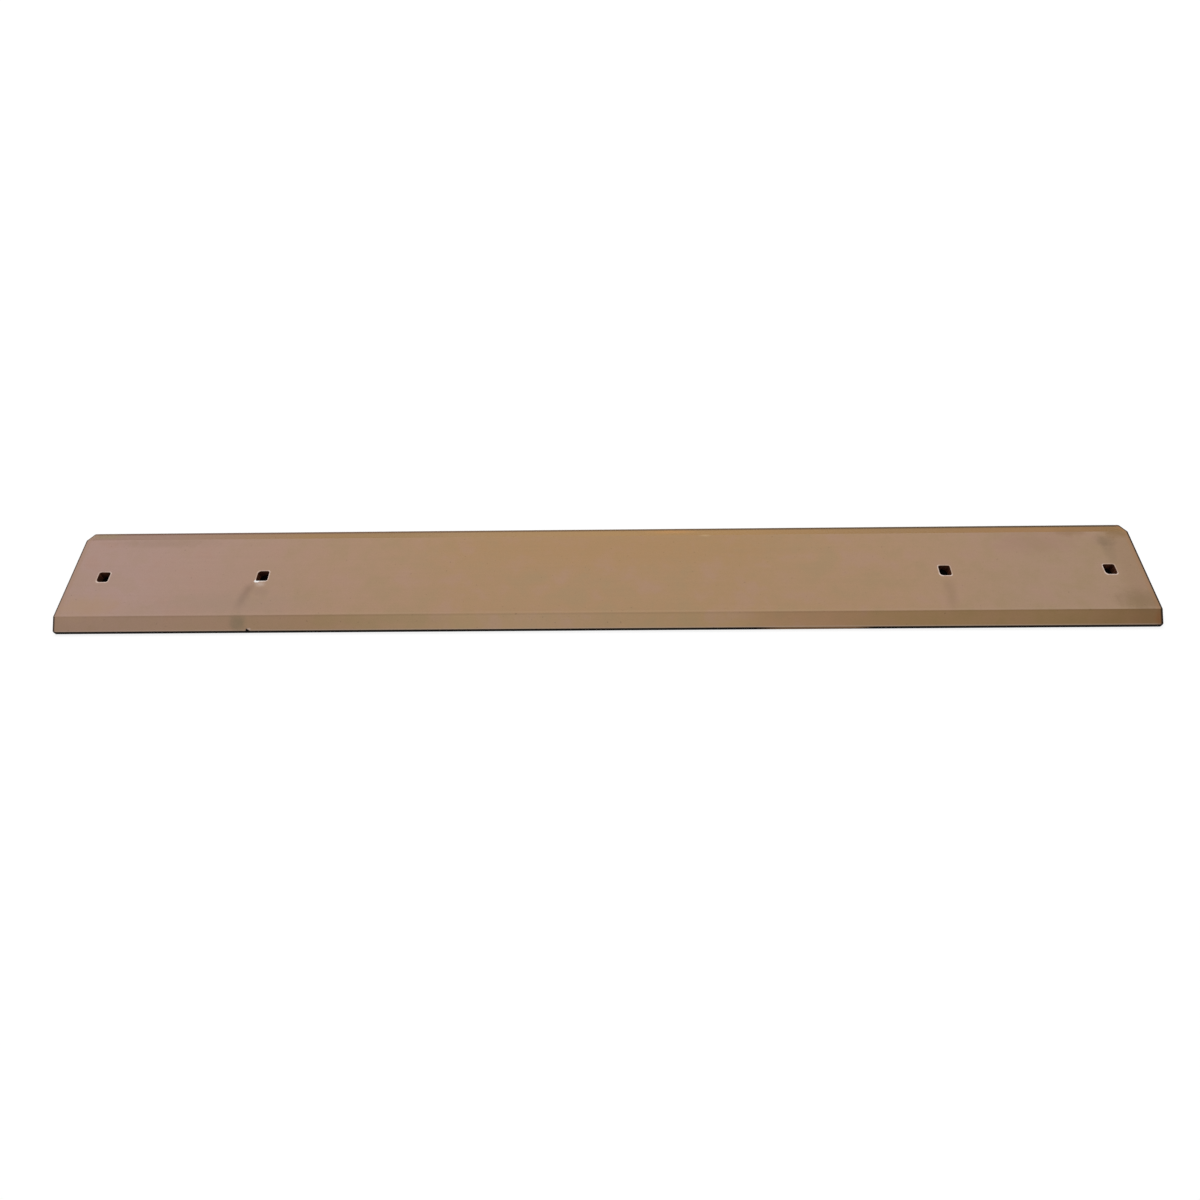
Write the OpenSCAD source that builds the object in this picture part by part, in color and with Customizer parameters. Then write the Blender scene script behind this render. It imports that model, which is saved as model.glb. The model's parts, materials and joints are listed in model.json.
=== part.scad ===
// Bolt-on cutting edge for a loader bucket, in millimetres.
// The bar lies on its underside with both bevels up.
// X runs along the bar, +Y points to its back edge, Z points up from the underside.

/* [Bar] */

// Length of the bar from end to end
blade_length = 1829; // [1200:1:2600]

// Width of the bar from nose to nose
blade_width = 203.2; // [150:0.2:300]

// Thickness of the bar between top face and underside
blade_thickness = 19; // [14:0.5:30]

// Radius of the rolled edges along the underside
rolled_radius = 1.5; // [0.5:0.1:3]

// Radius of the four upright corners, seen from above
corner_radius = 4; // [1:0.5:12]

/* [Bevels] */

// Height of the blunt nose left below each bevel
nose_height = 6.4; // [4:0.1:10]

// Slope of each bevel above the underside, in degrees
bevel_angle = 28; // [20:1:45]

/* [Bolt holes] */

// Bolt holes at each end of the bar
holes_per_end = 2; // [1:1:3]

// Distance from the bar's end to the middle of the outer hole
end_margin = 58; // [30:0.5:90]

// Distance between the middles of neighbouring holes
hole_pitch = 276; // [120:1:380]

// Width of the square hole, from flat to flat
hole_square = 19; // [14:0.1:24]

// Radius in the corners of the square hole
hole_corner_radius = 3; // [0.8:0.1:5]

// Width of the rolled-over rim around the hole on the top face
hole_rim = 0.8; // [0.2:0.1:1.5]

// Diameter of the countersink on the underside
sink_diameter = 30; // [26:0.5:40]

// Included angle of the countersink, in degrees
sink_angle = 80; // [60:1:100]

/* [Nick] */

// Distance from the left end to the nick in the front nose
nick_from_end = 326.5; // [150:0.5:600]

// Width of the nick where it opens on the nose's upper edge
nick_width = 6; // [2:0.1:10]

// Length of the nick up the bevel, seen from above
nick_length = 5; // [2:0.1:10]

// Height of material left under the nick
nick_floor = 2.8; // [2:0.1:3.5]

// Turn of the nick toward the left, in degrees
nick_turn = 20; // [0:1:45]

/* [Hidden] */

$fn = 64;

// Overlap that lets a cut run clear of the face that it opens on.
past = 1;

// Each bevel climbs from its nose to the top face.
bevel_rise = blade_thickness - nose_height;
bevel_run = bevel_rise / tan(bevel_angle);

// Hole places follow the ends of the bar.
outer_hole_x = blade_length / 2 - end_margin;
hole_half = hole_square / 2;
corner_place = hole_half - hole_corner_radius;

// The cone of the countersink closes inside the square hole.
sink_slope = tan(sink_angle / 2);
sink_top_radius = hole_half - past;
sink_depth = (sink_diameter / 2 - sink_top_radius) / sink_slope;

// The floor of the nick climbs from the nose to the bevel's surface.
nick_x = -blade_length / 2 + nick_from_end;
nick_mouth = nose_height - nick_floor;
nick_climb = atan2(nick_mouth + nick_length * tan(bevel_angle), nick_length);

// Section across the bar: flat underside, two noses, two bevels and the top face.
module bar_section() {
    half = blade_width / 2;
    rolled_y = half - rolled_radius;
    difference() {
        polygon([
            [-half, 0],
            [half, 0],
            [half, nose_height],
            [half - bevel_run, blade_thickness],
            [-half + bevel_run, blade_thickness],
            [-half, nose_height]
        ]);
        for (side = [-1, 1])
            translate([side * (half - rolled_radius / 2), rolled_radius / 2])
                square(rolled_radius, center = true);
    }
    for (side = [-1, 1])
        translate([side * rolled_y, rolled_radius])
            circle(r = rolled_radius);
}

// Outline of the bar seen from above, with its corners rounded.
module bar_outline() {
    square([blade_length - 2 * corner_radius, blade_width], center = true);
    square([blade_length, blade_width - 2 * corner_radius], center = true);
    for (x = [-1, 1], y = [-1, 1])
        translate([x * (blade_length / 2 - corner_radius), y * (blade_width / 2 - corner_radius)])
            circle(r = corner_radius);
}

// The bar before it is punched: the section carried along X and trimmed to the outline.
module bar() {
    intersection() {
        rotate([90, 0, 90])
            linear_extrude(height = blade_length + 2 * past, center = true)
                bar_section();
        translate([0, 0, -past])
            linear_extrude(height = blade_thickness + 2 * past)
                bar_outline();
    }
}

// Outline of a hole's square neck, with rounded corners.
module square_neck() {
    square([hole_square, 2 * corner_place], center = true);
    square([2 * corner_place, hole_square], center = true);
    for (x = [-1, 1], y = [-1, 1])
        translate([x * corner_place, y * corner_place])
            circle(r = hole_corner_radius);
}

// Half of the flared rim: a slot whose two long sides lean outward toward the top.
module rim_slot() {
    rotate([90, 0, 90])
        linear_extrude(height = 2 * corner_place, center = true)
            polygon([
                [-hole_half, -hole_rim],
                [hole_half, -hole_rim],
                [hole_half + hole_rim + past, past],
                [-hole_half - hole_rim - past, past]
            ]);
}

// Rolled-over rim of a hole, measured down from the top face.
module hole_rim_cut() {
    rim_slot();
    rotate([0, 0, 90])
        rim_slot();
    for (x = [-1, 1], y = [-1, 1])
        translate([x * corner_place, y * corner_place, -hole_rim])
            cylinder(
                h = hole_rim + past,
                r1 = hole_corner_radius,
                r2 = hole_corner_radius + hole_rim + past
            );
}

// One bolt hole: square neck, flared rim on the top face, countersink on the underside.
module bolt_hole() {
    translate([0, 0, -past])
        linear_extrude(height = blade_thickness + 2 * past)
            square_neck();
    translate([0, 0, blade_thickness])
        hole_rim_cut();
    translate([0, 0, -past])
        cylinder(
            h = sink_depth + past,
            r1 = sink_diameter / 2 + past * sink_slope,
            r2 = sink_top_radius
        );
}

// Bruise in the front nose: a leaning groove that fades out up the bevel.
module nose_nick() {
    reach = 2 * (nick_length + nose_height);
    flank_rise = 2 * nick_mouth * cos(nick_climb);
    translate([nick_x, -blade_width / 2, nick_floor])
        rotate([0, 0, nick_turn])
            rotate([nick_climb, 0, 0])
                translate([0, reach, 0])
                    rotate([90, 0, 0])
                        linear_extrude(height = 2 * reach)
                            polygon([
                                [0, 0],
                                [nick_width, flank_rise],
                                [-nick_width, flank_rise]
                            ]);
}

// The whole cutting edge.
module cutting_edge() {
    color([0.64, 0.53, 0.42])
        difference() {
            bar();
            for (end = [-1, 1], i = [0 : holes_per_end - 1])
                translate([end * (outer_hole_x - i * hole_pitch), 0, 0])
                    bolt_hole();
            nose_nick();
        }
}

cutting_edge();
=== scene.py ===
# %% [markdown]
# # A bolt-on cutting edge for a loader bucket
# The lip of a loader bucket scrapes over stone and grit, so a hard steel bar is bolted to it and
# takes the wear. This bar is one piece of flat stock. Both long sides are bevelled, so that it can
# be turned round when one nose is gone, and square bolt holes sit near its ends.
# The lesson makes that bar as one closed mesh and gives it the dull tan film of the real thing.
# All lengths are in metres, with X along the bar, Y across it and Z up from its underside.

# %% Load the frame
import json
import math

import bpy
import numpy as np
from mathutils import Matrix, Vector


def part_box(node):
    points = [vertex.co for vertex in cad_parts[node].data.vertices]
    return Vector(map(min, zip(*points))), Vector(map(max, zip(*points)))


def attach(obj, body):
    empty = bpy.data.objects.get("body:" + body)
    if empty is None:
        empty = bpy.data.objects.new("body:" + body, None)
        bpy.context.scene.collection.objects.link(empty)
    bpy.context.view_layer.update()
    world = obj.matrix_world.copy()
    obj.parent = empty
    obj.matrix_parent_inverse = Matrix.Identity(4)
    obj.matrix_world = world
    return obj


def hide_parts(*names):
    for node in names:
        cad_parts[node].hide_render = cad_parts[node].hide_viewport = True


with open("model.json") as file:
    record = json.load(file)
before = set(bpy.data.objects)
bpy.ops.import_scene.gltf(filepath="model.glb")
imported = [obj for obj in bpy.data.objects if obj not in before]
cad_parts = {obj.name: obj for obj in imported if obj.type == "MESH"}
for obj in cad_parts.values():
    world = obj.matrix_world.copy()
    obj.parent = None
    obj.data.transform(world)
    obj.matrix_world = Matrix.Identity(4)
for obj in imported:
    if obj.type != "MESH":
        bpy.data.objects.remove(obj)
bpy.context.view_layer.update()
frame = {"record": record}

# %% [markdown]
# ## Sizes
# Length, width and thickness come from the frame, and so do the places of the holes. The rest
# belongs to the section: a bar like this is rolled with blunt noses and sloping bevels, and the
# edges come out of the mill slightly round. Each rounding has its own radius here, because light
# that runs along a rounded edge is what makes steel look like steel.

# %% Sizes
half_length, half_width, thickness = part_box("cutting_edge")[1]
mounts = frame["record"]["mounts"]
hole_x = np.sort([m["pos_m"][0] for m in mounts if m["name"].startswith("bolt_hole")])

nose_height = 0.0064
bevel_angle = math.radians(28)
bevel_slope = math.tan(bevel_angle)
bevel_run = (thickness - nose_height) / bevel_slope

rolled_radius = 0.0015
arris_radius = 0.0012
shoulder_radius = 0.002
corner_radius = 0.004
end_radius = 0.0014
print("holes at, in mm:", np.round(hole_x * 1000, 1), "bevel run:", round(bevel_run * 1000, 2))

# %% [markdown]
# ## Stations along the bar
# The mesh is a section carried along X, so it needs a list of places to put that section. Evenly
# spaced places would waste faces on the long plain stretches, so those get few, and the rounded
# corners at the ends, the square around each hole and the nick in the front nose get many. The
# square around a hole is called its cell: the plain surface leaves it open, and the hole's own
# surface fills it later with the same points on the seam.

# %% Stations along the bar
nick_x = -0.588
cell_half = 0.026
plain_step = 0.006
cell_step = 0.002
nick_step = 0.0008
weld_digits = 7


def spaced(start, stop, step):
    """Evenly spaced values from start to stop, no further apart than step."""
    return np.linspace(start, stop, math.ceil((stop - start) / step) + 1)


def stretch(start, stop):
    """Stations from start to stop, at the step that the features between them need."""
    middle = (start + stop) / 2
    if abs(nick_x - middle) < cell_half:
        return spaced(start, stop, nick_step)
    if np.abs(hole_x - middle).min() < cell_half:
        return spaced(start, stop, cell_step)
    return spaced(start, stop, plain_step)


quarter = np.radians(np.linspace(0, 90, 9))
end_x = half_length - np.concatenate([
    corner_radius * (1 - np.sin(quarter)),
    end_radius * (1 - np.sin(quarter[::2])),
])
straight = half_length - corner_radius
knots = np.sort(np.concatenate([[-straight, straight], hole_x - cell_half, hole_x + cell_half]))
stretches = [stretch(start, stop) for start, stop in zip(knots[:-1], knots[1:])]
stations = np.unique(np.round(np.concatenate([-end_x, *stretches, end_x]), weld_digits))
print("stations:", len(stations))

# %% [markdown]
# ## The nick in the front nose
# A stone has bruised the front nose and left a small leaning notch with a raised lip beside it.
# The notch could be cut out with a boolean, but that leaves ragged little faces. Here it is a
# V-groove whose floor climbs until it meets the bevel. Written as a height over each point, it can
# simply be compared with the bevel, and the lower of the two is the surface.

# %% The nick in the front nose
nick_floor = 0.0028
nick_width = 0.006
nick_length = 0.005
nick_turn = math.radians(20)
lip_height = 0.0005
lip_reach = 0.0016
lip_offset = np.array([0.0030, 0.0028])


def nick_height(x, y):
    """Height of the notch's floor over a point: a V across its axis plus a climb along its axis."""
    mouth = nose_height - nick_floor
    climb = mouth / nick_length + bevel_slope
    right = x - nick_x
    back = y + half_width
    along = back * math.cos(nick_turn) - right * math.sin(nick_turn)
    across = right * math.cos(nick_turn) + back * math.sin(nick_turn)
    return nick_floor + climb * along + 2 * mouth / nick_width * np.abs(across)


def lip(x, y):
    """Metal pushed up beside the notch: a round bump that fades like a bell curve."""
    right = x - nick_x - lip_offset[0]
    back = y + half_width - lip_offset[1]
    return lip_height * np.exp(-(right**2 + back**2) / lip_reach**2)


nick_depth = nose_height - nick_height(nick_x, -half_width)
print("depth of the nick at the nose, in mm:", round(nick_depth * 1000, 2))

# %% [markdown]
# ## The section, line by line
# Each line of the section runs the whole length of the bar. A long edge has lines over its rolled
# lower edge, its upright nose, the arris above the nose, the bevel and the shoulder where the bevel
# meets the top face. A bevel modifier on a plain prism would round all these edges alike. Lines
# that are worked out one by one give each rounding its own radius.
# Near the ends the rounded corner trims the bar, so the nose moves in and, because it meets the
# bevel further up, also grows. The last fraction of a millimetre rolls over into the end face.

# %% Lines over a nose
past_corner = np.clip(np.abs(stations) - straight, 0, corner_radius)
inset = corner_radius - np.sqrt(corner_radius**2 - past_corner**2)
past_end = np.clip(np.abs(stations) - (half_length - end_radius), 0, end_radius)
roll_over = end_radius - np.sqrt(end_radius**2 - past_end**2)
shoulder_out = half_width - bevel_run - shoulder_radius * math.tan(bevel_angle / 2)


def nose_lines(width, nose_top):
    """Distance out and height of the lines over a nose; rows are lines, columns are stations.

    A quarter circle makes the rolled edge. The upright is straight. The arris is an arc that turns
    from upright to the bevel's slope.
    """
    turn = np.radians(np.linspace(0, 90, 6))[:, None]
    rolled_out = width - rolled_radius * (1 - np.sin(turn))
    rolled_z = np.broadcast_to(rolled_radius * (1 - np.cos(turn)), rolled_out.shape)

    lean = math.pi / 2 - bevel_angle
    turn = np.linspace(0, lean, 7)[:, None]
    arris_start = nose_top - arris_radius * math.tan(lean / 2)
    arris_out = width - arris_radius * (1 - np.cos(turn))
    arris_z = arris_start + arris_radius * np.sin(turn)

    rise = np.linspace(0, 1, 6)[1:-1, None]
    upright_z = rolled_radius + (arris_start - rolled_radius) * rise
    upright_out = np.broadcast_to(width, upright_z.shape)
    return np.vstack([rolled_out, upright_out, arris_out]), np.vstack([rolled_z, upright_z, arris_z])


print("shoulder, in mm from the bar's middle line:", round(shoulder_out * 1000, 2))

# %% Lines over a bevel, and over a whole long edge
crowding = 1.5


def slope_lines(side, start):
    """Distance out and height of the lines from the arris up to the top face.

    The bevel is a straight slope, or the nick where that is lower. Its lines crowd toward the nose,
    because a power of an even spacing starts slowly. The shoulder is an arc that turns level.
    """
    turn = bevel_angle * np.linspace(1, 0, 6)[:, None]
    level = np.zeros_like(stations)
    round_out = shoulder_out + shoulder_radius * np.sin(turn) + level
    round_z = thickness - shoulder_radius * (1 - np.cos(turn)) + level

    climb = np.linspace(0, 1, 20)[1:-1, None] ** crowding
    bevel_out = start + (round_out[0] - start) * climb
    bevel_z = nose_height + (half_width - bevel_out) * bevel_slope
    bevel_z = bevel_z + lip(stations, side * bevel_out)
    bevel_z = np.minimum(bevel_z, nick_height(stations, side * bevel_out))
    return np.vstack([bevel_out, round_out]), np.vstack([bevel_z, round_z])


def edge_lines(side):
    """All lines over one long edge, with the roll-over at the ends.

    There the nose closes in from both its edges toward its middle, and the slope sinks.
    """
    width = half_width - inset
    nose_top = np.minimum(nose_height + inset * bevel_slope, nick_height(stations, side * width))
    nose_out, nose_z = nose_lines(width, nose_top)
    slope_out, slope_z = slope_lines(side, nose_out[-1])
    nose_z = nose_z + roll_over * (1 - 2 * nose_z / nose_top)
    return np.vstack([nose_out, slope_out]), np.vstack([nose_z, slope_z - roll_over])


front_out, front_z = edge_lines(-1)
back_out, back_z = edge_lines(1)
print("lines over one long edge:", len(front_out))

# %% [markdown]
# ## The plain surface
# The two edges, the top face and the underside join into one closed ring of lines. Laid side by
# side they make a grid of points, and each four neighbours make a face. One more ring, drawn in
# slightly, borders each end face, so that its flat middle keeps a clean flat shade. Faces inside
# the cells of the holes are left out.

# %% The plain surface
cell_y = spaced(-cell_half, cell_half, cell_step)
margin = spaced(cell_half, shoulder_out, plain_step)[:-1]
top_lines = np.unique(np.round(np.concatenate([-margin, cell_y, margin]), weld_digits))
top_y = np.repeat(top_lines[:, None], len(stations), axis=1)
top_z = thickness - np.repeat(roll_over[None, :], len(top_lines), axis=0)

share = np.linspace(0, 1, 8)[1:-1, None]
under_out = cell_half + (half_width - inset - rolled_radius - cell_half) * share
under_cell = np.repeat(cell_y[::-1, None], len(stations), axis=1)
under_y = np.vstack([under_out[::-1], under_cell, -under_out])
under_z = np.repeat(roll_over[None, :], len(under_y), axis=0)

ring_y = np.vstack([-front_out, top_y, back_out[::-1], under_y])
ring_z = np.vstack([front_z, top_z, back_z[::-1], under_z])
section = np.stack([np.broadcast_to(stations, ring_y.shape), ring_y, ring_z], axis=-1)

end_middle = np.array([0, 0, nose_height])
draw_in = np.array([1, 0.99, 0.9])
border = end_middle + (section[:, [0, -1]] - end_middle) * draw_in
shell = np.concatenate([border[:, :1], section, border[:, 1:]], axis=1)


def grid_faces(rows, columns):
    """Faces of a grid of points whose last row joins its first; corners run column first."""
    here = np.arange(rows * columns).reshape(rows, columns)
    after = np.roll(here, -1, axis=0)
    corners = [here[:, :-1], here[:, 1:], after[:, 1:], after[:, :-1]]
    return np.stack(corners, axis=-1).reshape(-1, 4)


shell_points = shell.reshape(-1, 3)
shell_faces = grid_faces(*shell.shape[:2])
middle = shell_points[shell_faces].mean(axis=1)
to_hole = np.abs(middle[:, :1] - hole_x).min(axis=1)
open_cell = np.maximum(to_hole, np.abs(middle[:, 1])) < cell_half
shell_faces = shell_faces[~open_cell]

columns = shell.shape[1]
left_end = np.arange(len(shell)) * columns
right_end = left_end[::-1] + columns - 1
print("faces of the plain surface:", len(shell_faces))

# %% [markdown]
# ## The bolt holes
# Such a hole is punched square, so that what is fastened in it can't turn, and sunk from below, so
# that nothing stands out of the underside. The punch rolls the upper rim over. A boolean would cut
# the shape quickly, but it leaves long thin faces that shade badly. One surface can tell the whole
# story instead: rings that start on the cell's square border, close in on the rounded square, drop
# over the rim, go down the wall, open along the cone and run back out to the border underneath.

# %% Border and square of a bolt hole
hole_half = 0.0095
hole_corner = 0.003
slack = 1e-6


def cell_border(centre):
    """Points around a cell's square border, counter-clockwise from its front left corner."""
    x = stations[np.abs(stations - centre) < cell_half + slack] - centre
    sides = [
        np.stack([x, np.full_like(x, cell_y[0])], axis=-1),
        np.stack([np.full_like(cell_y, x[-1]), cell_y], axis=-1),
        np.stack([x[::-1], np.full_like(x, cell_y[-1])], axis=-1),
        np.stack([np.full_like(cell_y, x[0]), cell_y[::-1]], axis=-1),
    ]
    return np.concatenate([side[:-1] for side in sides])


def rounded_square(border, half, corner):
    """The border scaled to a smaller square, whose corners are pulled onto circles.

    The corner's radius is given for each point, so one corner can be rounder than the others.
    """
    square = border * (half / cell_half)
    core = np.clip(square, corner - half, half - corner)
    arm = square - core
    return core + corner * arm / np.linalg.norm(arm, axis=1, keepdims=True)


print("points around a cell:", [len(cell_border(centre)) for centre in hole_x])

# %% Rings of a bolt hole
rim_radius = 0.0011
sink_radius = 0.015
sink_slope = math.tan(math.radians(40))
cone_parts = [0.1, 0.4, 0.7, 0.95, 1]
underside_parts = [0.06, 0.35, 0.68, 1]


def bolt_hole(centre, front_left, rear_left):
    """Rings of one hole, from the cell's border on top through the bar to the border below.

    The top face closes in on a rounded square. A quarter circle rolls over the rim. The wall goes
    straight down to where the cone, a circle that widens with depth, has grown past the square.
    The two corners on the left have radii of their own.
    """
    border = cell_border(centre)
    left_corner = np.where(border[:, 1:] < 0, front_left, rear_left)
    corner = np.where(border[:, :1] < 0, left_corner, hole_corner)
    rim = [
        (rounded_square(border, hole_half + off, corner + off), thickness - down)
        for off, down in rim_radius * np.stack([1 - np.sin(quarter), 1 - np.cos(quarter)], axis=-1)
    ]
    neck = rim[-1][0]
    reach = np.linalg.norm(neck, axis=1)
    meet = (sink_radius - reach) / sink_slope
    wall_top = thickness - rim_radius
    closing = 1 - np.linspace(1, 0, 8)[:-1] ** crowding

    rings = [(border + (rim[0][0] - border) * part, thickness) for part in closing]
    rings += rim
    rings += [(neck, wall_top + (meet - wall_top) * part) for part in np.linspace(0, 1, 8)[1:]]
    for part in cone_parts:
        radius = reach + (sink_radius - reach) * part
        rings.append((neck * (radius / reach)[:, None], (sink_radius - radius) / sink_slope))
    cone_foot = rings[-1][0]
    rings += [(cone_foot + (border - cone_foot) * part, 0) for part in underside_parts]
    plan = np.stack([place for place, _ in rings], axis=1)
    height = np.stack([np.broadcast_to(z, len(border)) for _, z in rings], axis=1)
    return np.concatenate([plan + [centre, 0], height[..., None]], axis=-1)


print("rings of a bolt hole:", bolt_hole(hole_x[0], hole_corner, hole_corner).shape[1])

# %% [markdown]
# ## Four holes, each worn in its own way
# A worn punch and years of work leave no two holes alike. Three of these have one corner worn round.
# The second from the left has one rounder and one sharp corner, and beside the sharp one the punch
# tore the rim up into a small burr. Separate radii and one bell-shaped bump are enough for that.

# %% Four holes, each worn in its own way
worn_corner = 0.0055
torn_corner = 0.0008
burr_height = 0.0003
burr_reach = 0.003
burr_fade = 8
burr_offset = np.array([-0.0078, -0.0106])
left_corners = [
    (worn_corner, hole_corner),
    (torn_corner, worn_corner),
    (worn_corner, hole_corner),
    (worn_corner, hole_corner),
]


def raise_burr(hole, middle):
    """Lifts the upper rim around one point, as a bell curve times a high power of the height.

    The power makes the lift fade out a short way down the wall.
    """
    gap = np.linalg.norm(hole[..., :2] - middle, axis=-1)
    upper = (hole[..., 2] / thickness) ** burr_fade
    hole[..., 2] += burr_height * np.exp(-(gap / burr_reach) ** 2) * upper


holes = [bolt_hole(centre, *corners) for centre, corners in zip(hole_x, left_corners)]
burr_middle = burr_offset + [hole_x[1], 0]
raise_burr(holes[1], burr_middle)
print("points of the four holes:", [hole.shape[:2] for hole in holes])

# %% [markdown]
# ## One closed mesh
# The plain surface and the four holes were computed from the same numbers, so their seams agree to
# the last digit that matters. Points that round to the same tenth of a micrometre become one, and
# the two flat end faces close the ends. The edges stay smooth wherever a rounding was modelled and
# are kept sharp only where two faces really meet at an angle.

# %% One closed mesh
points = [shell_points]
faces = [shell_faces]
count = len(shell_points)
for hole in holes:
    points.append(hole.reshape(-1, 3))
    faces.append(grid_faces(*hole.shape[:2])[:, ::-1] + count)
    count += len(points[-1])
points = np.concatenate(points)
faces = np.concatenate(faces)

keys = np.round(points * 10**weld_digits).astype(np.int64)
_, first, same = np.unique(keys, axis=0, return_index=True, return_inverse=True)
used, corner = np.unique(same.reshape(-1)[faces], return_inverse=True)
rank = np.searchsorted(used, same.reshape(-1))
points = points[first][used]
polygons = corner.reshape(-1, 4).tolist() + [rank[left_end].tolist(), rank[right_end].tolist()]

mesh = bpy.data.meshes.new("edge_bar")
mesh.from_pydata(points.tolist(), [], polygons)
mesh.update()
mesh.shade_smooth()
mesh.set_sharp_from_angle(angle=math.radians(32))
edge_bar = bpy.data.objects.new("edge_bar", mesh)
bpy.context.scene.collection.objects.link(edge_bar)

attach(edge_bar, "root")
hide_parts("cutting_edge")
print("points:", len(points), "faces:", len(polygons))

# %% [markdown]
# ## Helpers for the finish
# Blender finishes are built from nodes, and a node takes several lines to make. Each helper makes a
# node or a short chain of nodes and hands back its output, so that the finish below reads like a
# recipe. Colours are written as they look on a screen and turned into the linear light that the
# renderer counts in.

# %% Helpers for values
def plug(tree, socket, value):
    """Links a socket to another node's output, or sets a plain value on it."""
    if isinstance(value, bpy.types.NodeSocket):
        tree.links.new(value, socket)
    else:
        socket.default_value = value


def calc(tree, operation, *values):
    """One Math node over up to three values."""
    node = tree.nodes.new("ShaderNodeMath")
    node.operation = operation
    for socket, value in zip(node.inputs, values):
        plug(tree, socket, value)
    return node.outputs[0]


def vector_calc(tree, operation, *values):
    """One Vector Math node over up to two vectors."""
    node = tree.nodes.new("ShaderNodeVectorMath")
    node.operation = operation
    for socket, value in zip(node.inputs, values):
        plug(tree, socket, value)
    return node.outputs["Value" if operation == "LENGTH" else "Vector"]


def split(tree, vector):
    """X, Y and Z of a vector."""
    node = tree.nodes.new("ShaderNodeSeparateXYZ")
    plug(tree, node.inputs[0], vector)
    return node.outputs[0], node.outputs[1], node.outputs[2]


print("helpers for values:", ", ".join(f.__name__ for f in (plug, calc, vector_calc, split)))

# %% Helpers for masks
def product(tree, *masks):
    """Masks multiplied one after the other, so that only the place they share is left."""
    result = masks[0]
    for mask in masks[1:]:
        result = calc(tree, "MULTIPLY", result, mask)
    return result


def greatest(tree, *masks):
    """Masks joined, so that a place in any of them counts."""
    result = masks[0]
    for mask in masks[1:]:
        result = calc(tree, "MAXIMUM", result, mask)
    return result


def ease(tree, value, start, stop, low=0.0, high=1.0):
    """Smooth step from low to high while the value goes from start to stop."""
    node = tree.nodes.new("ShaderNodeMapRange")
    node.interpolation_type = "SMOOTHSTEP"
    for socket, given in zip(node.inputs, (value, start, stop, low, high)):
        plug(tree, socket, given)
    return node.outputs["Result"]


print("helpers for masks:", ", ".join(f.__name__ for f in (product, greatest, ease)))

# %% Helpers for colours
def screen(red, green, blue):
    """Linear colour of a screen colour given from 0 to 255."""
    value = np.array([red, green, blue]) / 255
    linear = np.where(value < 0.04045, value / 12.92, ((value + 0.055) / 1.055) ** 2.4)
    return (*linear.tolist(), 1.0)


def blend(tree, amount, under, over, kind="MIX"):
    """One Mix node that lays a colour over another."""
    node = tree.nodes.new("ShaderNodeMix")
    node.data_type = "RGBA"
    node.blend_type = kind
    for index, value in zip((0, 6, 7), (amount, under, over)):
        plug(tree, node.inputs[index], value)
    return node.outputs[2]


def ramp(tree, value, stops):
    """One Color Ramp node from (position, colour) pairs."""
    node = tree.nodes.new("ShaderNodeValToRGB")
    marks = node.color_ramp.elements
    while len(marks) < len(stops):
        marks.new(1.0)
    for mark, (position, colour) in zip(marks, stops):
        mark.position = position
        mark.color = colour
    plug(tree, node.inputs["Fac"], value)
    return node.outputs["Color"]


print("the film's tan in linear light:", np.round(screen(166, 133, 100)[:3], 3))

# %% Helpers for patterns
def noise(tree, place, scale, detail=2.0, roughness=0.5):
    """One Noise node; its features measure about one part in scale of a metre."""
    node = tree.nodes.new("ShaderNodeTexNoise")
    plug(tree, node.inputs["Vector"], place)
    node.inputs["Scale"].default_value = scale
    node.inputs["Detail"].default_value = detail
    node.inputs["Roughness"].default_value = roughness
    return node.outputs[0]


def streaks(tree, place, turn, size, detail=4.0, roughness=0.6):
    """Noise drawn out to features of the given size in metres, turned about Z by an angle."""
    node = tree.nodes.new("ShaderNodeMapping")
    node.vector_type = "TEXTURE"
    node.inputs["Rotation"].default_value = (0, 0, turn)
    node.inputs["Scale"].default_value = size
    plug(tree, node.inputs["Vector"], place)
    return noise(tree, node.outputs["Vector"], 1.0, detail, roughness)


print("helpers for patterns:", ", ".join(f.__name__ for f in (noise, streaks)))

# %% Helpers for node groups
def new_group(name, takes, gives):
    """Empty node group with the named sockets, and the outputs and inputs of its two ends."""
    tree = bpy.data.node_groups.new(name, "ShaderNodeTree")
    for side, sockets in (("INPUT", takes), ("OUTPUT", gives)):
        for label, kind in sockets.items():
            tree.interface.new_socket(label, in_out=side, socket_type="NodeSocket" + kind)
    return tree, tree.nodes.new("NodeGroupInput").outputs, tree.nodes.new("NodeGroupOutput").inputs


def use_group(tree, group, **values):
    """One use of a node group; returns its outputs."""
    node = tree.nodes.new("ShaderNodeGroup")
    node.node_tree = group
    for label, value in values.items():
        plug(tree, node.inputs[label], value)
    return node.outputs


def describe(*groups):
    """Prints each group's name and how many nodes it holds."""
    print("node groups:", {group.name: len(group.nodes) for group in groups})


print("helpers for groups:", ", ".join(f.__name__ for f in (new_group, use_group, describe)))

# %% [markdown]
# ## Zones of the bar
# The film looks different on the flat faces, the bevels and the upright sides. Painting those
# zones by hand isn't needed: the direction in which a surface faces already tells them apart.
# Level faces point straight up or down, bevels lean by their angle, noses and ends face sideways.
# Two more groups measure how far a point lies from the nearest hole and from the bar's outline.
# Both are rounded rectangles, so both use the same few steps.

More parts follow.
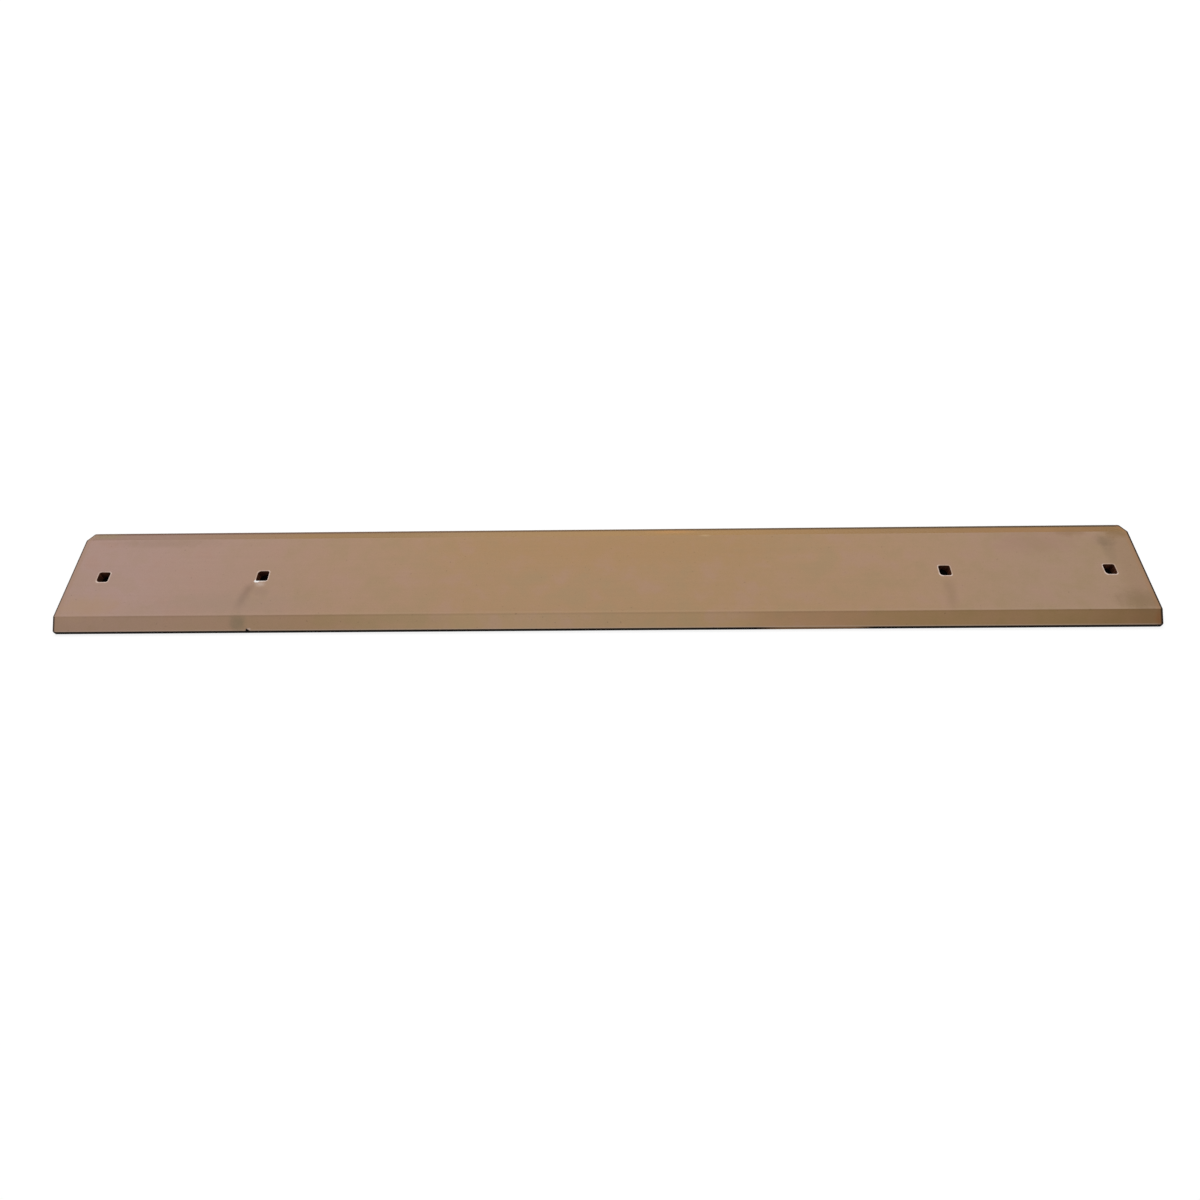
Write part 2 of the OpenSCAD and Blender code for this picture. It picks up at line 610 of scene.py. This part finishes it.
# %% Zones of the bar
zones, _, give = new_group("bar_zones", {}, {"Bevel": "Float", "Upright": "Float"})
normal = zones.nodes.new("ShaderNodeNewGeometry").outputs["Normal"]
facing = split(zones, normal)[2]
bevel_level = math.cos(bevel_angle)
leaning = ease(zones, facing, (1 + 2 * bevel_level) / 3, 0.99, 1, 0)
plug(zones, give["Bevel"], product(zones, leaning, ease(zones, facing, 0.3, 0.75)))
plug(zones, give["Upright"], ease(zones, calc(zones, "ABSOLUTE", facing), 0.6, 0.88, 1, 0))
describe(zones)

# %% Distances to the holes and to the outline
def past_outline(tree, x, y, half_x, half_y, radius):
    """Distance out from a rounded rectangle, less than zero inside it.

    Beside a corner, the ways past the two straight sides count like the legs of a right angle.
    Elsewhere the greater of the two counts. The corner's radius is taken off at the end.
    """
    way_x = calc(tree, "SUBTRACT", calc(tree, "ABSOLUTE", x), half_x - radius)
    way_y = calc(tree, "SUBTRACT", calc(tree, "ABSOLUTE", y), half_y - radius)
    leg_x = calc(tree, "POWER", calc(tree, "MAXIMUM", way_x, 0.0), 2.0)
    leg_y = calc(tree, "POWER", calc(tree, "MAXIMUM", way_y, 0.0), 2.0)
    past = calc(tree, "SQRT", calc(tree, "ADD", leg_x, leg_y))
    short = calc(tree, "MINIMUM", calc(tree, "MAXIMUM", way_x, way_y), 0.0)
    return calc(tree, "SUBTRACT", calc(tree, "ADD", past, short), radius)


hole_gap, take, give = new_group(
    "hole_gap", {"Place": "Vector"}, {"Distance": "Float", "Outward": "Float"}
)
x, y, _ = split(hole_gap, take["Place"])
pair_middle = (hole_x[2] + hole_x[3]) / 2
pair_half = (hole_x[3] - hole_x[2]) / 2
off_pair = calc(hole_gap, "SUBTRACT", calc(hole_gap, "ABSOLUTE", x), pair_middle)
at_outer = calc(hole_gap, "GREATER_THAN", off_pair, 0.0)
nearer = calc(hole_gap, "MULTIPLY_ADD", at_outer, 2 * pair_half, -pair_half)
outward = calc(hole_gap, "SUBTRACT", off_pair, nearer)
plug(hole_gap, give["Distance"], past_outline(hole_gap, outward, y, hole_half, hole_half, hole_corner))
plug(hole_gap, give["Outward"], outward)

edge_gap, take, give = new_group("edge_gap", {"Place": "Vector"}, {"Distance": "Float"})
x, y, _ = split(edge_gap, take["Place"])
away = past_outline(edge_gap, x, y, half_length, half_width, corner_radius)
plug(edge_gap, give["Distance"], calc(edge_gap, "MULTIPLY", away, -1.0))
describe(hole_gap, edge_gap)

# %% [markdown]
# ## Texture of rolled steel
# A rolled bar is never one flat colour. Scale and moisture leave soft clouds and patches, the rolls
# leave faint lines along the bar, and the surface is covered in fine grain and flecks, with a few
# small pits and scratches. A photograph could be wrapped around the bar, but it would stretch over
# the edges. Each of these is a noise at its own size instead, drawn out where it runs one way.

# %% Texture of rolled steel
texture, take, give = new_group(
    "rolled_texture",
    {"Place": "Vector"},
    {name: "Float" for name in ("Cloud", "Patch", "Lines", "Grain", "Pits", "Flecks", "Scratches")},
)
place = take["Place"]
aside = vector_calc(texture, "ADD", place, (3.0, 5.0, 1.0))
plug(texture, give["Cloud"], noise(texture, place, 5.0, 3.0))
plug(texture, give["Patch"], noise(texture, aside, 26.0, 4.0))
plug(texture, give["Lines"], streaks(texture, place, 0.0, (1 / 6, 1 / 240, 1 / 240)))
plug(texture, give["Grain"], noise(texture, place, 620.0, 3.0, 0.6))
plug(texture, give["Pits"], ease(texture, noise(texture, place, 210.0, 2.0), 0.69, 0.76))
plug(texture, give["Flecks"], ease(texture, noise(texture, aside, 1100.0, 3.0, 0.6), 0.58, 0.68))
scratch_sets = [
    ease(texture, streaks(texture, place, math.radians(turn), (0.05, 0.0008, 0.01), 2.0), 0.67, 0.77)
    for turn in (6, -17, 74)
]
plug(texture, give["Scratches"], greatest(texture, *scratch_sets))
describe(texture)

# %% [markdown]
# ## Soft spots and trails
# Stains have no hard outline. A spot is a mask that fades with the distance from its middle, and a
# trail fades to both sides of a curved line and toward its two ends. Noise added to the distance
# makes both ragged, coarse noise for the large ones and fine noise for the small.

# %% Soft spots and trails
spot, take, give = new_group(
    "soft_spot",
    {"Place": "Vector", "Middle": "Vector", "Reach": "Vector"},
    {"Mask": "Float"},
)
offset = vector_calc(spot, "SUBTRACT", take["Place"], take["Middle"])
away = vector_calc(spot, "LENGTH", vector_calc(spot, "DIVIDE", offset, take["Reach"]))
ragged = calc(spot, "MULTIPLY_ADD", noise(spot, take["Place"], 90.0, 3.0), 0.8, -0.4)
frayed = calc(spot, "MULTIPLY_ADD", noise(spot, take["Place"], 520.0, 3.0), 0.6, -0.3)
away = calc(spot, "ADD", away, calc(spot, "ADD", ragged, frayed))
plug(spot, give["Mask"], ease(spot, away, 1.0, 0.1))

trail, take, give = new_group(
    "trail",
    {"Place": "Vector", "Start": "Vector"} | {
        name: "Float" for name in ("Sweep", "Bend", "Width", "Length")
    },
    {"Mask": "Float"},
)
offset = vector_calc(trail, "SUBTRACT", take["Place"], take["Start"])
right, back, _ = split(trail, offset)
fading = calc(trail, "EXPONENT", calc(trail, "DIVIDE", back, take["Bend"]))
path = calc(trail, "MULTIPLY", calc(trail, "SUBTRACT", fading, 1.0), take["Sweep"])
ragged = calc(trail, "MULTIPLY_ADD", noise(trail, take["Place"], 60.0, 3.0), 0.012, -0.006)
off_path = calc(trail, "ADD", calc(trail, "SUBTRACT", right, path), ragged)
across = calc(trail, "DIVIDE", calc(trail, "ABSOLUTE", off_path), take["Width"])
gone = calc(trail, "DIVIDE", calc(trail, "MULTIPLY", back, -1.0), take["Length"])
body = product(trail, ease(trail, gone, 0.0, 0.25), ease(trail, gone, 1.0, 0.55))
plug(trail, give["Mask"], product(trail, body, ease(trail, across, 1.0, 0.0)))
describe(spot, trail)

# %% [markdown]
# ## The film
# A thin dull film covers the steel, be it rust, scale or primer. Its colour drifts along the bar
# from a pinkish brown over tan to a greyer brown, with soft clouds in it. The pinkish brown at the
# left end is a painted sheen, the reflection of a cool light on the top face. A plain gradient along
# X would look sprayed on, so the colour ramp is shifted here and there by a slow noise. A yellower
# breath lies over the middle of the rear half.

# %% Where things lie on the bar
film = bpy.data.materials.new("tan_film")
film.use_nodes = True
tree = film.node_tree
tree.nodes.clear()
place = tree.nodes.new("ShaderNodeTexCoord").outputs["Object"]
x, y, z = split(tree, place)
zone = use_group(tree, zones)
grain = use_group(tree, texture, Place=place)
at_hole = use_group(tree, hole_gap, Place=place)
gap = at_hole["Distance"]
rim_gap = use_group(tree, edge_gap, Place=place)["Distance"]
side_gap = calc(tree, "SUBTRACT", half_width, calc(tree, "ABSOLUTE", y))
across_fade = 0.01
along_fade = 0.1
behind = ease(tree, y, -across_fade, across_fade)
before = ease(tree, y, across_fade, -across_fade)
to_right = ease(tree, x, -along_fade, along_fade)


def spot_mask(middle, reach):
    """Soft spot around a point of the plan view, as tall as the bar."""
    return use_group(tree, spot, Place=place, Middle=(*middle, 0), Reach=(*reach, 1))["Mask"]


def lay(under, mask, share, over):
    """The colour under a mask with another laid over it, at a share of full cover."""
    return blend(tree, calc(tree, "MULTIPLY", mask, share), under, over)


print("nodes that find places on the bar:", len(tree.nodes))

# %% The film
wander = calc(tree, "MULTIPLY_ADD", grain["Cloud"], 0.2, -0.1)
along = calc(tree, "MULTIPLY_ADD", calc(tree, "ADD", x, wander), 0.5 / half_length, 0.5)
# The pinkish first stops at the left end carry a painted sheen of cool light on the top face.
colour = ramp(tree, along, [
    (0.05, screen(171, 141, 130)),
    (0.21, screen(167, 136, 115)),
    (0.37, screen(166, 133, 100)),
    (0.63, screen(166, 133, 98)),
    (0.78, screen(168, 136, 107)),
    (0.90, screen(166, 137, 113)),
])
toward_left = ease(tree, x, -0.35, -0.75)
olive = product(tree, ease(tree, grain["Patch"], 0.45, 0.7), ease(tree, toward_left, 0, 1, 1, 0.4))
colour = lay(colour, olive, 0.45, screen(157, 133, 100))
rosy = ease(tree, grain["Patch"], 0.5, 0.3)
colour = lay(colour, rosy, 0.35, screen(170, 135, 119))
breath = spot_mask((0.02, 0.055), (0.42, 0.07))
colour = lay(colour, breath, 0.45, screen(167, 130, 87))
browner = ease(tree, x, half_length - 0.060, half_length - 0.025)
colour = lay(colour, browner, 0.5, screen(152, 123, 96))
print("nodes with the film:", len(tree.nodes))

# %% [markdown]
# ## The bevels
# The bevels carry the same film. The front one is painted lighter over its middle and darker toward
# both ends, most toward the right: that is painted light and shade, as a lamp near the camera would
# cast them. The rear one is yellower. A painted highlight runs as a pale line along the arris above
# the front nose, and a much fainter one above the front shoulder, where the bevel meets the top face.
# Painted shade sits just below that shoulder and along the rear nose. A second material on the bevels
# would end in a hard line, so these are ramps and masks of the one film.

# %% The bevels
# Factors above one paint light over the middle of the front bevel. Factors below one paint shade toward
# its ends.
front_light_and_shade = ramp(tree, along, [
    (0.04, (0.885, 0.86, 0.735, 1)),
    (0.13, (0.915, 0.905, 0.79, 1)),
    (0.25, (0.925, 0.915, 0.80, 1)),
    (0.36, (1.09, 1.15, 1.15, 1)),
    (0.43, (1.13, 1.19, 1.29, 1)),
    (0.63, (1.06, 1.085, 1.07, 1)),
    (0.70, (0.93, 0.87, 0.85, 1)),
    (0.76, (0.82, 0.80, 0.64, 1)),
    (0.90, (0.79, 0.73, 0.54, 1)),
    (0.99, (0.64, 0.56, 0.39, 1)),
])
front = blend(tree, 1.0, colour, front_light_and_shade, "MULTIPLY")
rear = ramp(tree, along, [
    (0.07, screen(148, 118, 103)),
    (0.22, screen(149, 117, 80)),
    (0.31, screen(148, 118, 82)),
    (0.36, screen(155, 124, 89)),
    (0.50, screen(162, 127, 84)),
    (0.64, screen(160, 124, 81)),
    (0.78, screen(148, 115, 77)),
    (0.92, screen(151, 113, 71)),
    (0.965, screen(142, 106, 66)),
])
colour = blend(tree, zone["Bevel"], colour, blend(tree, behind, front, rear))
print("nodes with the bevels:", len(tree.nodes))

# %% Painted shade and highlights along the bevels
# Painted shade along the rear nose, darkest toward the right.
painted_shade = ramp(tree, along, [
    (0.1, screen(104, 76, 62)),
    (0.5, screen(104, 80, 54)),
    (0.9, screen(58, 46, 28)),
])
rear_line = product(tree, behind, ease(tree, side_gap, 0.0085, 0.0045))
colour = lay(colour, rear_line, 0.9, painted_shade)
# Painted shade in the crease below the front shoulder, and a painted highlight above it.
# Each line has its offset up from the shoulder, its share of full cover and its colour.
shoulder_lines = {
    "dirt below the shoulder": (-0.0010, 0.13, (100, 78, 58)),
    "pale line above the shoulder": (0.0024, 0.07, (200, 178, 154)),
}
for offset, share, shade in shoulder_lines.values():
    from_line = calc(tree, "ABSOLUTE", calc(tree, "SUBTRACT", side_gap, bevel_run + offset))
    shoulder = product(tree, before, ease(tree, from_line, 0.0022, 0.0004))
    colour = lay(colour, shoulder, share, screen(*shade))
# A painted highlight along the arris above the front nose.
near_nose = ease(tree, side_gap, 0.010, 0.006)
highlighted = product(tree, before, near_nose, ease(tree, rim_gap, 0.0032, 0.0020))
colour = lay(colour, highlighted, 0.4, screen(180, 160, 146))
print("nodes with painted shade and highlights:", len(tree.nodes))

# %% [markdown]
# ## Lines, grain and pits
# The fine texture only shifts the tone of what is there, so it multiplies the colour instead of
# replacing it. Each step is small: seen from a few paces the film looks even, and close to it
# looks like steel.

# %% Lines, grain and pits
tone = calc(tree, "MULTIPLY_ADD", grain["Lines"], 0.06, 0.97)
for layer, amount, base in [
    ("Grain", 0.20, 0.90),
    ("Pits", -0.25, 1.0),
    ("Flecks", -0.09, 1.01),
    ("Scratches", 0.07, 1.0),
]:
    tone = product(tree, tone, calc(tree, "MULTIPLY_ADD", grain[layer], amount, base))
colour = blend(tree, 1.0, colour, tone, "MULTIPLY")
print("nodes with the fine texture:", len(tree.nodes))

# %% [markdown]
# ## Marks of use
# Each mark is a trail or a soft spot laid over the film where the real bar shows one: a smear that
# runs from the second hole to the nick, a fainter one below the third, a smudge near the last and a
# dull patch in front of it. The others are bright scrapes, a painted highlight on the rear shoulder,
# and stretches where the film is duller, browner or yellower. They could be painted on an image, but
# that needs an unwrapped mesh and blurs close up. Places are given on the bar itself, so a mark
# stays put from any side.

# %% Marks of use
smear = use_group(
    tree, trail, Place=place, Start=(hole_x[1] - 0.010, -0.010, 0),
    Sweep=0.018, Bend=0.025, Width=0.015, Length=0.066,
)["Mask"]
colour = lay(colour, smear, 0.42, screen(122, 98, 84))
streak = use_group(
    tree, trail, Place=place, Start=(hole_x[2] + 0.001, -0.008, 0),
    Sweep=0.004, Bend=0.05, Width=0.016, Length=0.085,
)["Mask"]
colour = lay(colour, streak, 0.24, screen(124, 104, 70))

# Each soft mark has its middle and its reach seen from above, its share of full cover and its colour.
nick_lip = (nick_x + lip_offset[0], lip_offset[1] - half_width)
soft_marks = {
    "shine below the torn rim": ((hole_x[1] - 0.001, -0.016), (0.013, 0.0085), 0.60, (200, 180, 168)),
    "stain beside the smear": ((hole_x[1] + 0.004, -0.032), (0.020, 0.016), 0.30, (150, 122, 110)),
    "smudge behind the last hole": ((0.866, 0.057), (0.026, 0.020), 0.38, (104, 88, 64)),
    "tail of that smudge": ((0.868, 0.034), (0.016, 0.030), 0.22, (116, 100, 74)),
    "dull patch before the last hole": ((0.885, -0.060), (0.060, 0.030), 0.42, (122, 100, 70)),
    "brown rear right corner": ((0.893, 0.080), (0.036, 0.022), 0.55, (132, 102, 60)),
    "brown stretch beside that corner": ((0.812, 0.077), (0.036, 0.014), 0.45, (136, 104, 70)),
    "yellower front left corner": ((-0.868, -0.060), (0.095, 0.034), 0.60, (171, 140, 113)),
    "dull stretch beside the smear": ((-0.625, -0.055), (0.190, 0.034), 0.28, (150, 131, 111)),
    "dull strip of the rear left": ((-0.770, 0.071), (0.140, 0.016), 0.35, (148, 122, 102)),
    "dull stretch of the rear right": ((0.745, 0.058), (0.110, 0.036), 0.25, (149, 114, 98)),
    "olive rear left corner": ((-0.886, 0.092), (0.040, 0.014), 0.50, (142, 126, 92)),
    "grey foot of the smear": ((-0.604, -0.089), (0.020, 0.020), 0.45, (112, 106, 84)),
    "orange tip of the front bevel": ((0.907, -0.092), (0.010, 0.014), 0.40, (136, 84, 46)),
    # A painted highlight on the rear shoulder.
    "scrape on the rear shoulder": ((0.182, 0.0775), (0.014, 0.0035), 0.45, (196, 164, 126)),
    "warm stretch of the rear bevel": ((0.123, 0.090), (0.060, 0.009), 0.45, (188, 136, 80)),
    "bright lip of the nick": (nick_lip, (0.006, 0.0035), 0.75, (194, 172, 160)),
}
for middle, reach, share, shade in soft_marks.values():
    colour = lay(colour, spot_mask(middle, reach), share, screen(*shade))
print("soft marks:", ", ".join(soft_marks))

# %% [markdown]
# ## Rims of the holes
# The punch leaves the upper rim proud, so everything that slides over the bar rubs it pale first.
# The pale ring is partly that rubbed steel and partly a painted highlight, where the rounded rim
# catches the light from behind; it is strongest in front and toward the middle of the bar. The front
# rim of the second hole gets a brighter painted highlight. Where the burr stands up the steel is
# bare, with a painted glint on it. The rim is found by its distance from the hole, and two noises
# keep its outline and its strength uneven.

# %% Rims of the holes
rim_wide = 0.0026
rim_core = 0.0013
upper = ease(tree, z, thickness - 0.0018, thickness - 0.0010)
fray = calc(tree, "MULTIPLY_ADD", noise(tree, place, 700.0), 0.0012, -0.0006)
rim = product(tree, upper, ease(tree, calc(tree, "ADD", gap, fray), rim_wide, rim_core))
uneven = ease(tree, noise(tree, place, 240.0), 0.30, 0.55, 0.55, 1.1)
# Stronger in front, where the painted highlight of the light from behind falls.
front_side = ease(tree, y, -0.006, -0.0095, 0.38, 0.9)
inner_side = ease(tree, at_hole["Outward"], -0.006, -0.0095, 0.38, 0.9)
# Rubbed steel and painted highlight on the rims.
pale = product(tree, rim, uneven, greatest(tree, front_side, inner_side))
colour = blend(tree, pale, colour, screen(222, 200, 187))
# A brighter painted highlight on the front rim of the second hole.
torn = spot_mask((hole_x[1] - 0.001, -0.0108), (0.013, 0.0045))
colour = lay(colour, product(tree, rim, torn), 0.85, screen(244, 236, 230))
# Bare steel of the burr, with a painted glint.
bare_and_glint = ease(tree, spot_mask(burr_middle, (0.0072, 0.0042)), 0.2, 0.5)
colour = blend(tree, product(tree, upper, bare_and_glint), colour, screen(248, 245, 242))
print("width of a rubbed rim, in mm:", rim_wide * 1000)

# %% [markdown]
# ## Painted light and shade at the ends
# A warm band near each end is painted light, where the ends catch the light. A thin dark line on
# the very edge is painted shade, where the rounded edge turns away from the light; it is darkest on
# the front bevel and toward the right. The line has to run round the corners, so the distance to the
# end is measured from the rounded outline: a circle's arc takes away from it what the corner cuts
# off.

# %% Painted light and shade at the ends
end_gap = calc(tree, "SUBTRACT", half_length, calc(tree, "ABSOLUTE", x))
in_corner = calc(tree, "MAXIMUM", calc(tree, "SUBTRACT", corner_radius, side_gap), 0.0)
arc_square = calc(tree, "SUBTRACT", corner_radius**2, calc(tree, "POWER", in_corner, 2.0))
arc = calc(tree, "SQRT", calc(tree, "MAXIMUM", arc_square, 0.0))
end_gap = calc(tree, "SUBTRACT", end_gap, calc(tree, "SUBTRACT", corner_radius, arc))

front_bevel = product(tree, zone["Bevel"], before)
# The warm band is painted light on the ends.
warm = blend(tree, to_right, screen(162, 130, 106), screen(166, 114, 70))
warm = blend(tree, product(tree, front_bevel, to_right), warm, screen(116, 76, 44))
warm_share = ease(tree, to_right, 0, 1, 0.35, 0.22)
colour = blend(tree, product(tree, ease(tree, end_gap, 0.012, 0.007), warm_share), colour, warm)

# The thin dark line on the very edge is painted shade.
line_width = calc(tree, "MULTIPLY_ADD", front_bevel, 0.0010, ease(tree, to_right, 0, 1, 0.0034, 0.0042))
shaded = ease(tree, end_gap, line_width, calc(tree, "MULTIPLY", line_width, 0.55))
edge_shade = blend(tree, to_right, screen(74, 62, 50), screen(26, 19, 12))
edge_shade = lay(edge_shade, front_bevel, 0.6, screen(14, 9, 6))
colour = lay(colour, shaded, 0.92, edge_shade)
print("nodes with the singed ends:", len(tree.nodes))

# %% [markdown]
# ## Dark scale and painted shade
# Noses, end faces and the walls of the holes were worked hot and carry dark scale, with marks of the
# tool running down them. Their colour is pushed near black as painted shade as well: the front nose
# and its rolled lower edge stand in shade, and the holes are deep. Over one stretch of the front nose
# that painted shade is left out, and the brown shows. The floor of the nick is painted dark as shade
# too: it lies below the plane of the bevel, and that is how the mask finds it.

# %% Dark scale and painted shade on the noses and in the holes
drag = streaks(tree, place, 0.0, (1 / 420, 1 / 420, 1 / 24), 3.0, 0.5)
tool_marks = ease(tree, drag, 0.4, 0.7)
# Dark scale with painted shade, for the noses and the floor of the nick.
dark_scale_and_shade = blend(tree, tool_marks, screen(10, 7, 6), screen(32, 23, 17))
# A stretch of the front nose where the painted shade is left out.
brown_nose_stretch = product(tree, before, ease(tree, x, 0.25, 0.30), ease(tree, x, 0.45, 0.41))
nose = lay(dark_scale_and_shade, brown_nose_stretch, 0.85, screen(132, 102, 74))
# Painted shade over the rolled lower edge of the front nose.
front_lip = product(tree, before, ease(tree, side_gap, 0.0013, 0.0007))
upright = greatest(tree, zone["Upright"], front_lip)
colour = blend(tree, upright, colour, nose)

above_floor = ease(tree, z, 0.0001, 0.0005)
below_rim = ease(tree, z, thickness - 0.0001, thickness - 0.0004)
in_cone = calc(tree, "LESS_THAN", gap, sink_radius - hole_half + 0.001)
inside = product(tree, above_floor, below_rim, in_cone)
# Dark scale with painted shade inside the holes.
hole_scale_and_shade = blend(tree, tool_marks, screen(58, 30, 18), screen(104, 58, 36))
colour = blend(tree, inside, colour, hole_scale_and_shade)

# The floor of the nick gets the same dark scale as painted shade.
bevel_plane = calc(tree, "MULTIPLY_ADD", y, bevel_slope, nose_height + half_width * bevel_slope)
sunk = ease(tree, calc(tree, "SUBTRACT", bevel_plane, z), 0.00005, 0.0003)
beside = calc(tree, "ABSOLUTE", calc(tree, "SUBTRACT", x, nick_x))
at_nick = product(tree, ease(tree, beside, 0.0055, 0.0045), ease(tree, side_gap, 0.012, 0.010), before)
hollow = product(tree, sunk, at_nick)
colour = blend(tree, hollow, colour, dark_scale_and_shade)
print("nodes with the dark scale:", len(tree.nodes))

# %% [markdown]
# ## Feel of the surface
# Fine relief decides how light breaks on the film. The same grain, lines and tool marks that tinted
# the colour also raise and lower the surface by hundredths of a millimetre. Real relief that small
# would take millions of faces, so it is a bump. Dark scale is dull, the film has a faint satin.

# %% Feel of the surface
relief = grain["Grain"]
for layer, amount in [("Lines", 0.5), ("Pits", -0.8), ("Scratches", -0.4)]:
    relief = calc(tree, "MULTIPLY_ADD", grain[layer], amount, relief)
relief = calc(tree, "MULTIPLY_ADD", product(tree, drag, zone["Upright"]), 2.0, relief)
bump = tree.nodes.new("ShaderNodeBump")
bump.inputs["Strength"].default_value = 0.35
bump.inputs["Distance"].default_value = 0.0002
plug(tree, bump.inputs["Height"], relief)

satin = calc(tree, "MULTIPLY_ADD", grain["Grain"], 0.25, 0.45)
dull = calc(tree, "MULTIPLY", greatest(tree, upright, hollow, inside, shaded), 0.9)
bsdf = tree.nodes.new("ShaderNodeBsdfPrincipled")
bsdf.inputs["Specular IOR Level"].default_value = 0.12
plug(tree, bsdf.inputs["Base Color"], colour)
plug(tree, bsdf.inputs["Roughness"], greatest(tree, satin, dull))
plug(tree, bsdf.inputs["Normal"], bump.outputs["Normal"])
output = tree.nodes.new("ShaderNodeOutputMaterial")
plug(tree, output.inputs["Surface"], bsdf.outputs["BSDF"])
mesh.materials.append(film)
print("nodes in the whole film:", len(tree.nodes))

# %% [markdown]
# ## Floor
# The bar lies on a plain white sheet. A sheet lit from above would render a little grey, so where
# the camera sees it most of its light is its own, which keeps it white and leaves the shadow faint.
# Further off all of it is, so that no horizon shows. Under the bar no light arrives, and there the
# sheet is painted dark as a painted shadow, so the holes look deep.

# %% Floor
floor_half = 12.0
floor_drop = 0.0001

corner_signs = [(-1, -1), (1, -1), (1, 1), (-1, 1)]
floor_points = [(a * floor_half, b * floor_half, -floor_drop) for a, b in corner_signs]
floor_mesh = bpy.data.meshes.new("floor")
floor_mesh.from_pydata(floor_points, [], [(0, 1, 2, 3)])
floor = bpy.data.objects.new("floor", floor_mesh)
bpy.context.scene.collection.objects.link(floor)
print("floor, in m across:", 2 * floor_half)

# %% White sheet on the floor
own_share = 0.75
own_glow = 1.09
sheet_white = (0.93, 0.93, 0.93, 1)
# Painted shadow: the sheet's colour under the bar.
painted_shadow_under_bar = (0.01, 0.01, 0.01, 1)


def seen_directly(tree):
    """One for rays from the camera and for what mirrors and glass would show, zero for the rest."""
    path = tree.nodes.new("ShaderNodeLightPath").outputs
    kinds = ("Is Camera Ray", "Is Glossy Ray", "Is Transmission Ray")
    return greatest(tree, *(path[kind] for kind in kinds))


sheet = bpy.data.materials.new("white_sheet")
sheet.use_nodes = True
tree = sheet.node_tree
tree.nodes.clear()
place = tree.nodes.new("ShaderNodeTexCoord").outputs["Object"]
cover = use_group(tree, edge_gap, Place=place)["Distance"]
outside = ease(tree, cover, 0.003, 0.001)
glowing = ease(tree, cover, -0.4, -2.0, own_share, 1.0)
own = product(tree, seen_directly(tree), outside, glowing)
lit = calc(tree, "SUBTRACT", 1.0, own)
paper = tree.nodes.new("ShaderNodeBsdfPrincipled")
paper.inputs["Roughness"].default_value = 1.0
paper.inputs["Specular IOR Level"].default_value = 0.0
paper.inputs["Emission Strength"].default_value = own_glow
sheet_colour = blend(tree, outside, painted_shadow_under_bar, sheet_white)
plug(tree, paper.inputs["Base Color"], blend(tree, 1.0, sheet_colour, lit, "MULTIPLY"))
plug(tree, paper.inputs["Emission Color"], own)
output = tree.nodes.new("ShaderNodeOutputMaterial")
plug(tree, output.inputs["Surface"], paper.outputs["BSDF"])
floor_mesh.materials.append(sheet)
print("nodes in the sheet:", len(tree.nodes))

# %% [markdown]
# ## Light
# The light is soft and comes from above and slightly behind, so that the bevel toward the camera is
# a shade darker than the top face and the far bevel a shade lighter. A small lamp would draw hard
# shadows, so a large softbox does it, and a white surrounding fills the rest. Together they light a
# level white surface to about one, at which a colour renders as it is written.

# %% Light
fill_strength = 0.55
shown_strength = 1.0
softbox_place = Vector((-0.15, 1.4, 2.4))

surround = bpy.data.worlds.new("studio")
surround.use_nodes = True
bpy.context.scene.world = surround
tree = surround.node_tree
tree.nodes.clear()
sky = tree.nodes.new("ShaderNodeBackground")
sky.inputs["Color"].default_value = (1, 1, 1, 1)
plug(tree, sky.inputs["Strength"], ease(tree, seen_directly(tree), 0, 1, fill_strength, shown_strength))
output = tree.nodes.new("ShaderNodeOutputWorld")
plug(tree, output.inputs["Surface"], sky.outputs[0])

softbox_data = bpy.data.lights.new("softbox", "AREA")
softbox_data.shape = "RECTANGLE"
softbox_data.size = 2.4
softbox_data.size_y = 1.4
softbox_data.energy = 42
softbox = bpy.data.objects.new("softbox", softbox_data)
softbox.location = softbox_place
softbox.rotation_euler = (-softbox_place).to_track_quat("-Z", "Y").to_euler()
bpy.context.scene.collection.objects.link(softbox)
print("softbox, in m from the bar:", round(softbox_place.length, 2))

# %% [markdown]
# ## Camera
# The picture was taken close to the bar with a wide lens, from in front and fairly high up. The
# camera leans a little, which is why the bar sinks toward the left. Aiming it at the bar's middle
# would lose that lean, so it is turned by three angles instead.

# %% Camera
camera_place = Vector((0.0175, -0.6939, 1.0740))
look_down = math.radians(58.73)
look_left = math.radians(1.759)
tilt = math.radians(-1.937)

camera_data = bpy.data.cameras.new("camera")
camera_data.sensor_width = 36
camera_data.lens = 22.25
camera = bpy.data.objects.new("camera", camera_data)
camera.matrix_world = (
    Matrix.Translation(camera_place)
    @ Matrix.Rotation(look_left, 4, "Z")
    @ Matrix.Rotation(math.pi / 2 - look_down, 4, "X")
    @ Matrix.Rotation(tilt, 4, "Z")
)
bpy.context.scene.collection.objects.link(camera)
bpy.context.scene.camera = camera
bpy.context.scene.view_settings.view_transform = "Standard"
print("camera, in m from the bar:", round(camera_place.length, 2))
print("angle of view, in degrees:", round(math.degrees(camera_data.angle), 1))
